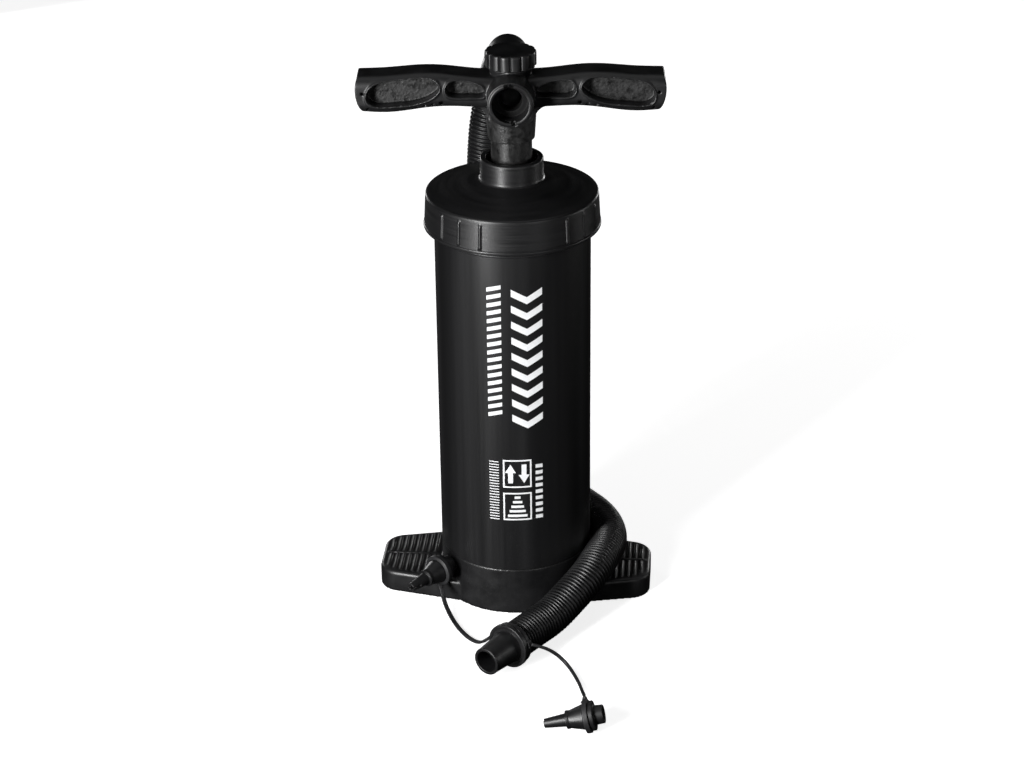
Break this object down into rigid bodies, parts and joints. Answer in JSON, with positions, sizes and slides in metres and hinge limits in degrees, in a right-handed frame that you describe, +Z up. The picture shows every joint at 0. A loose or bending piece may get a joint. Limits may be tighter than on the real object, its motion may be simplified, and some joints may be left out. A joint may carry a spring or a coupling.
{
  "type": "double action hand pump",
  "caption": "Upright double action air pump with a T handle, ribbed screw cap, treaded foot, corrugated hose on the handle's rear port and leashed valve adapters.",
  "frame": {"origin": "on the floor, on the barrel's axis", "axes": "+Z up along the barrel, X along the handle, the handle's inlet port faces -Y and the hose leaves towards +Y"},
  "size_m": [0.24, 0.3662, 0.4681],
  "materials": {
    "black_plastic": "satin",
    "barrel_plastic": "gloss",
    "hose_plastic": "satin",
    "soft_rubber": "matte",
    "inner_plastic": "satin",
    "screw_steel": "satin"
  },
  "bodies": {
    "barrel": {"foot_base": "black_plastic", "base_seal": "soft_rubber", "base_bumper": "soft_rubber", "barrel_tube": "barrel_plastic", "screw_cap": "black_plastic", "cap_gasket": "soft_rubber", "gland_bush": "inner_plastic", "gland_seal": "soft_rubber", "rod_wiper": "soft_rubber", "hose": "hose_plastic", "hose_connector": "black_plastic", "tether_ring": "soft_rubber", "left_strap": "soft_rubber", "right_strap": "soft_rubber", "left_adapter": "black_plastic", "right_adapter": "black_plastic", "left_collar": "soft_rubber", "right_collar": "soft_rubber"},
    "plunger": {"piston_lower_plate": "inner_plastic", "piston_divider": "inner_plastic", "piston_upper_plate": "inner_plastic", "piston_seal": "soft_rubber", "piston_screws": "screw_steel", "upper_intake_flap": "soft_rubber", "lower_intake_flap": "soft_rubber", "upper_delivery_flap": "soft_rubber", "lower_delivery_flap": "soft_rubber", "rod_tube": "black_plastic", "inner_tube": "inner_plastic", "rod_bumper": "soft_rubber", "delivery_elbow": "inner_plastic", "handle": "black_plastic", "handle_pins": "screw_steel", "hose_elbow": "hose_plastic", "port_seal": "soft_rubber"},
    "selector_lift": {"selector_gasket": "soft_rubber"},
    "selector": {"selector_cap": "black_plastic"}
  },
  "joints": [
    {"name": "plunger_slide", "type": "slide", "parent": "barrel", "child": "plunger", "axis": [0, 0, 1], "range_m": [0, 0.25], "deforming": ["hose"]},
    {"name": "selector_rise", "type": "slide", "parent": "plunger", "child": "selector_lift", "axis": [0, 0, 1], "range_m": [0, 0.0061]},
    {"name": "selector_turn", "type": "hinge", "parent": "selector_lift", "child": "selector", "pos_m": [0, 0, 0.46], "axis": [0, 0, 1], "range_deg": [0, 540]}
  ],
  "couplings": [
    {"joint": "selector_rise", "follows": "selector_turn", "m_per_rad": 0.00063662}
  ]
}
